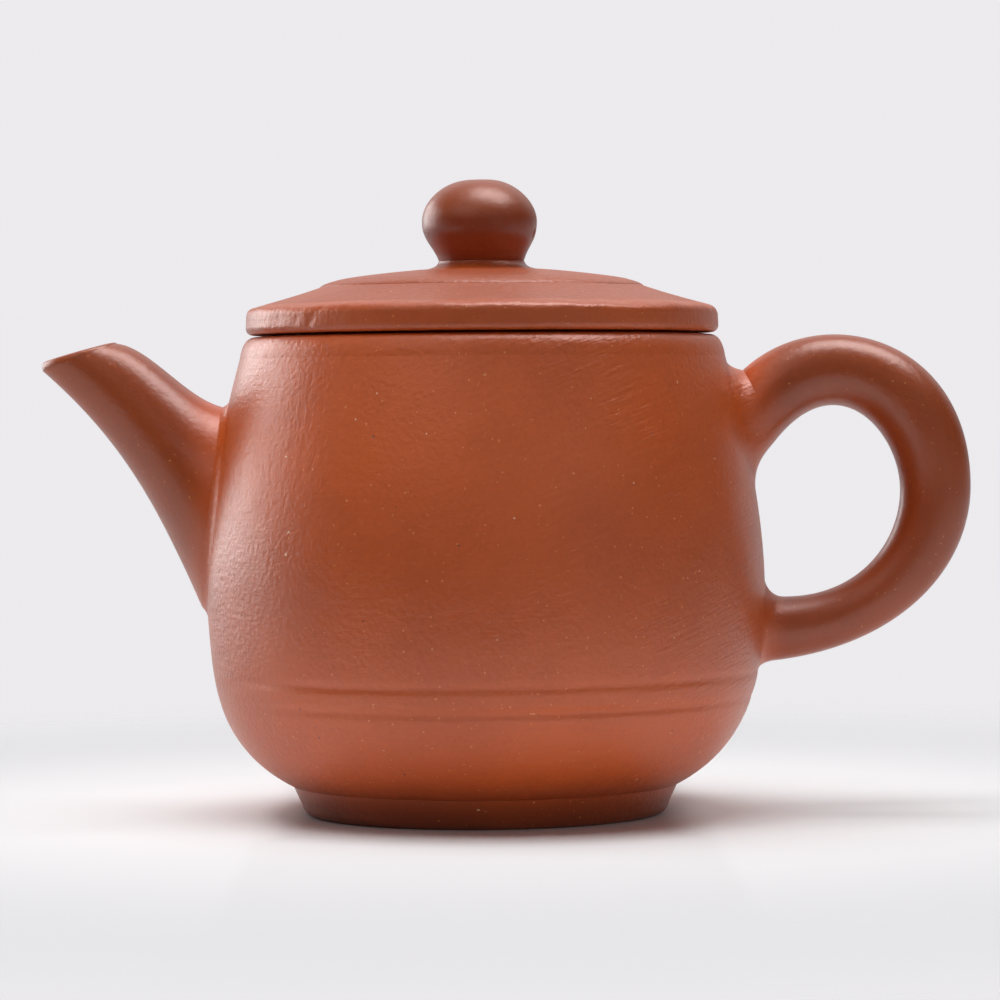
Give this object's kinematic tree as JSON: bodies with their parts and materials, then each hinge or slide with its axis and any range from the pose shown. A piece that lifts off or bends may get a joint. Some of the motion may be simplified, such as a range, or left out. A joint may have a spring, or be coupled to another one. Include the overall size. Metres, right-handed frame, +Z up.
{
  "type": "yixing clay teapot",
  "caption": "Small round unglazed clay teapot with a flared drum body, straight-cut spout, loop handle, ring foot and a flat domed lid with a ball knob that lifts off.",
  "frame": {"origin": "on the pot's vertical axis, in the plane that the foot ring stands on", "axes": "+Z up; +X from the axis to the handle, so the spout points to -X; +Y away from the side that shows the spout on the left"},
  "size_m": [0.1289, 0.078, 0.0879],
  "materials": {
    "clay_body": "unglazed red-orange stoneware clay, burnished to a satin sheen, fine pebbled grain with sparse pale and dark specks",
    "clay_lid": "the same unglazed red-orange clay, burnished by hand, slightly uneven at the rim",
    "clay_slip": "slip clay smoothed over the joints, fired with the pot"
  },
  "bodies": {
    "pot": {"body_wall": "clay_body", "base_disc": "clay_body", "foot_ring": "clay_body", "shoulder_disc": "clay_body", "mouth_ring": "clay_body", "spout": "clay_body", "spout_joint": "clay_slip", "strainer_dome": "clay_body", "handle": "clay_body", "handle_joint_top": "clay_slip", "handle_joint_bottom": "clay_slip"},
    "lid": {"lid_disc": "clay_lid", "lid_rim": "clay_lid", "lid_crown": "clay_lid", "lid_flange": "clay_lid", "knob": "clay_lid", "knob_joint": "clay_slip"}
  },
  "joints": [
    {"name": "lid_lift", "type": "slide", "parent": "pot", "child": "lid", "axis": [0, 0, 1], "range_m": [0, 0.05]}
  ]
}
